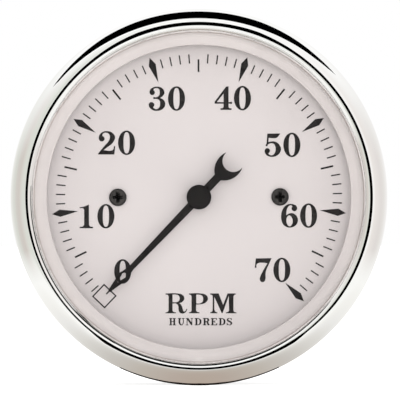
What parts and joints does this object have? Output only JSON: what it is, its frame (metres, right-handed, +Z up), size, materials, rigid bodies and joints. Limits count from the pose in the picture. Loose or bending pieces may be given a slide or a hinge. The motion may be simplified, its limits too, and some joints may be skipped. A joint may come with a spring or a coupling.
{
  "type": "tachometer",
  "caption": "Round in-dash tachometer with a rolled bright bezel, off-white dial, spade pointer, air-core movement and a rear clamp bracket.",
  "frame": {"origin": "on the axis of the case's barrel, in the plane of the panel's front face, where the bezel's crimp seats", "axes": "+Z up the dial, dial facing -Y, +Y along the barrel towards the terminals, +X to the right of the dial"},
  "size_m": [0.0856, 0.067, 0.0856],
  "materials": {
    "bezel_chrome": "bright plated",
    "lens_glass": "clear",
    "gasket_rubber": "matt",
    "trim_plastic": "satin moulded",
    "dial_paint": "matt painted",
    "scale_ink": "printed ink",
    "screw_black": "black oxide",
    "pointer_paint": "matt painted",
    "turned_steel": "turned",
    "magnet_ferrite": "sintered",
    "turned_brass": "turned",
    "bobbin_nylon": "moulded",
    "winding_copper": "enamelled wire",
    "can_steel": "drawn",
    "board_laminate": "lacquered",
    "chip_epoxy": "moulded",
    "capacitor_sleeve": "shrunk sleeve",
    "film_lacquer": "dipped",
    "resistor_lacquer": "lacquered",
    "trimmer_blue": "moulded",
    "trimmer_white": "moulded",
    "switch_steel": "pressed",
    "black_nylon": "moulded",
    "case_enamel": "stoved enamel",
    "zinc_steel": "zinc plated",
    "insulator_phenolic": "moulded",
    "lamp_glass": "clear"
  },
  "bodies": {
    "gauge": {"bezel": "bezel_chrome", "lens": "lens_glass", "lens_gasket": "gasket_rubber", "trim_ring": "trim_plastic", "dial": "dial_paint", "dial_scale": "scale_ink", "dial_screws": "screw_black", "front_bearing": "turned_brass", "rear_bearing": "turned_brass", "bobbin_front": "bobbin_nylon", "bobbin_rear": "bobbin_nylon", "sine_coil": "winding_copper", "cosine_coil": "winding_copper", "shield_can": "can_steel", "dial_pillars": "zinc_steel", "circuit_board": "board_laminate", "driver_chip": "chip_epoxy", "smoothing_capacitors": "capacitor_sleeve", "film_capacitor": "film_lacquer", "resistors": "resistor_lacquer", "trimmer_body": "trimmer_blue", "selector_switch": "switch_steel", "case": "case_enamel", "mounting_studs": "zinc_steel", "stud_washers": "zinc_steel", "stud_nuts": "zinc_steel", "terminal_studs": "turned_brass", "terminal_spacers": "insulator_phenolic", "terminal_bushes": "insulator_phenolic", "terminal_washers": "zinc_steel", "terminal_nuts": "zinc_steel"},
    "needle": {"pointer": "pointer_paint", "pointer_hub": "pointer_paint", "spindle": "turned_steel", "rotor_magnet": "magnet_ferrite"},
    "calibration": {"trimmer_rotor": "trimmer_white"},
    "selector": {"selector_slider": "black_nylon"},
    "clamp": {"mounting_bracket": "zinc_steel"},
    "clamp_nut_left": {"thumb_nut_left": "turned_brass"},
    "clamp_nut_right": {"thumb_nut_right": "turned_brass"},
    "lamp_unit_left": {"lamp_holder_left": "black_nylon", "lamp_left": "lamp_glass"},
    "lamp_unit_right": {"lamp_holder_right": "black_nylon", "lamp_right": "lamp_glass"}
  },
  "joints": [
    {"name": "pointer_sweep", "type": "hinge", "parent": "gauge", "child": "needle", "pos_m": [0, 0, 0], "axis": [0, 1, 0], "range_deg": [0, 271.1]},
    {"name": "calibration_turn", "type": "hinge", "parent": "gauge", "child": "calibration", "pos_m": [0.0286, 0.025, 0.0056], "axis": [0, 1, 0], "range_deg": [-130, 130]},
    {"name": "selector_slide", "type": "slide", "parent": "gauge", "child": "selector", "axis": [1, 0, 0], "range_m": [0, 0.0048]},
    {"name": "bracket_slide", "type": "slide", "parent": "gauge", "child": "clamp", "axis": [0, -1, 0], "range_m": [-0.004, 0.0045]},
    {"name": "left_nut_spin", "type": "hinge", "parent": "clamp", "child": "clamp_nut_left", "pos_m": [-0.0185, 0.05, 0], "axis": [0, -1, 0], "range_deg": [-1816, 2043]},
    {"name": "right_nut_spin", "type": "hinge", "parent": "clamp", "child": "clamp_nut_right", "pos_m": [0.0185, 0.05, 0], "axis": [0, -1, 0], "range_deg": [-1816, 2043]},
    {"name": "left_lamp_twist", "type": "hinge", "parent": "gauge", "child": "lamp_unit_left", "pos_m": [-0.02001, 0.036, 0.02001], "axis": [0, 1, 0], "range_deg": [0, 60]},
    {"name": "right_lamp_twist", "type": "hinge", "parent": "gauge", "child": "lamp_unit_right", "pos_m": [0.02001, 0.036, 0.02001], "axis": [0, 1, 0], "range_deg": [0, 60]}
  ],
  "couplings": [
    {"joint": "left_nut_spin", "follows": "bracket_slide", "rad_per_m": 7915.8},
    {"joint": "right_nut_spin", "follows": "bracket_slide", "rad_per_m": 7915.8}
  ]
}
